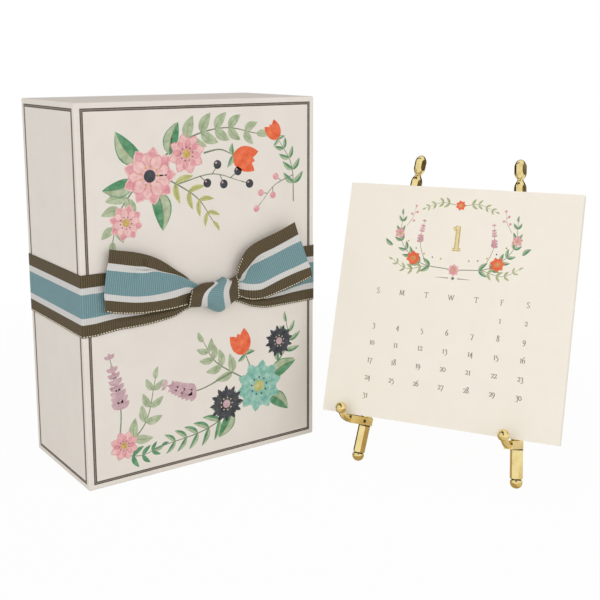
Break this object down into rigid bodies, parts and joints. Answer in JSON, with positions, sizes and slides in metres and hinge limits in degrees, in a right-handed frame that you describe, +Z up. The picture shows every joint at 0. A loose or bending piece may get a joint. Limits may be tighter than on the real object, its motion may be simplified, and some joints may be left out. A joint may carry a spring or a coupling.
{
  "type": "desk calendar",
  "caption": "Desk calendar set: square month cards leaning on a brass ball-foot easel with swivel arms and a folding rear leg, beside a ribbon-tied keepsake box with a slide-out tray.",
  "frame": {"origin": "middle of the keepsake box's base, on the desk", "axes": "+Z up, -Y out of the box's printed front, +X towards the easel"},
  "size_m": [0.2405, 0.2194, 0.204],
  "materials": {
    "box_wrap": "rigid board wrapped in matt printed paper",
    "tray_board": "rigid board wrapped in plain matt paper",
    "ribbon_grosgrain": "striped ribbed ribbon with stitched edges",
    "card_stock": "uncoated cream card",
    "polished_brass": "polished, lightly aged"
  },
  "bodies": {
    "box": {"box_lid": "box_wrap", "ribbon_band": "ribbon_grosgrain", "ribbon_knot": "ribbon_grosgrain", "ribbon_tail_left": "ribbon_grosgrain", "ribbon_tail_right": "ribbon_grosgrain"},
    "tray": {"box_tray": "tray_board"},
    "easel": {"left_leg": "polished_brass", "right_leg": "polished_brass", "left_finial": "polished_brass", "right_finial": "polished_brass", "left_foot": "polished_brass", "right_foot": "polished_brass", "upper_crossbar": "polished_brass", "lower_crossbar": "polished_brass", "crossbar_screws": "polished_brass", "hinge_bracket": "polished_brass", "hinge_pin": "polished_brass"},
    "rear_leg": {"rear_leg": "polished_brass", "rear_foot": "polished_brass"},
    "left_arm": {"left_arm": "polished_brass"},
    "right_arm": {"right_arm": "polished_brass"},
    "card_01": {"month_card_01": "card_stock"},
    "card_02": {"month_card_02": "card_stock"},
    "card_03": {"month_card_03": "card_stock"},
    "card_04": {"month_card_04": "card_stock"},
    "card_05": {"month_card_05": "card_stock"},
    "card_06": {"month_card_06": "card_stock"},
    "card_07": {"month_card_07": "card_stock"},
    "card_08": {"month_card_08": "card_stock"},
    "card_09": {"month_card_09": "card_stock"},
    "card_10": {"month_card_10": "card_stock"},
    "card_11": {"month_card_11": "card_stock"},
    "card_12": {"month_card_12": "card_stock"}
  },
  "joints": [
    {"name": "tray_slide", "type": "slide", "parent": "box", "child": "tray", "axis": [0, 1, 0], "range_m": [0, 0.1]},
    {"name": "easel_place", "type": "slide", "parent": "box", "child": "easel", "axis": [1, 0, 0], "range_m": [0, 0.1]},
    {"name": "rear_leg_fold", "type": "hinge", "parent": "easel", "child": "rear_leg", "pos_m": [0.14048, -0.09607, 0.13041], "axis": [0.5075, -0.8616, 0], "range_deg": [-31, 0]},
    {"name": "left_arm_swivel", "type": "hinge", "parent": "easel", "child": "left_arm", "pos_m": [0.06891, -0.08601, 0.0033], "axis": [0.3262, 0.085, 0.9415], "range_deg": [-2, 80]},
    {"name": "right_arm_swivel", "type": "hinge", "parent": "easel", "child": "right_arm", "pos_m": [0.11458, -0.16355, 0.0033], "axis": [0.2324, 0.2441, 0.9415], "range_deg": [-36, 46]},
    {"name": "card_01_lift", "type": "slide", "parent": "easel", "child": "card_01", "axis": [0.2805, 0.1652, 0.9455], "range_m": [0, 0.14]},
    {"name": "card_02_lift", "type": "slide", "parent": "easel", "child": "card_02", "axis": [0.2805, 0.1652, 0.9455], "range_m": [0, 0.14]},
    {"name": "card_03_lift", "type": "slide", "parent": "easel", "child": "card_03", "axis": [0.2805, 0.1652, 0.9455], "range_m": [0, 0.14]},
    {"name": "card_04_lift", "type": "slide", "parent": "easel", "child": "card_04", "axis": [0.2805, 0.1652, 0.9455], "range_m": [0, 0.14]},
    {"name": "card_05_lift", "type": "slide", "parent": "easel", "child": "card_05", "axis": [0.2805, 0.1652, 0.9455], "range_m": [0, 0.14]},
    {"name": "card_06_lift", "type": "slide", "parent": "easel", "child": "card_06", "axis": [0.2805, 0.1652, 0.9455], "range_m": [0, 0.14]},
    {"name": "card_07_lift", "type": "slide", "parent": "easel", "child": "card_07", "axis": [0.2805, 0.1652, 0.9455], "range_m": [0, 0.14]},
    {"name": "card_08_lift", "type": "slide", "parent": "easel", "child": "card_08", "axis": [0.2805, 0.1652, 0.9455], "range_m": [0, 0.14]},
    {"name": "card_09_lift", "type": "slide", "parent": "easel", "child": "card_09", "axis": [0.2805, 0.1652, 0.9455], "range_m": [0, 0.14]},
    {"name": "card_10_lift", "type": "slide", "parent": "easel", "child": "card_10", "axis": [0.2805, 0.1652, 0.9455], "range_m": [0, 0.14]},
    {"name": "card_11_lift", "type": "slide", "parent": "easel", "child": "card_11", "axis": [0.2805, 0.1652, 0.9455], "range_m": [0, 0.14]},
    {"name": "card_12_lift", "type": "slide", "parent": "easel", "child": "card_12", "axis": [0.2805, 0.1652, 0.9455], "range_m": [0, 0.14]}
  ]
}
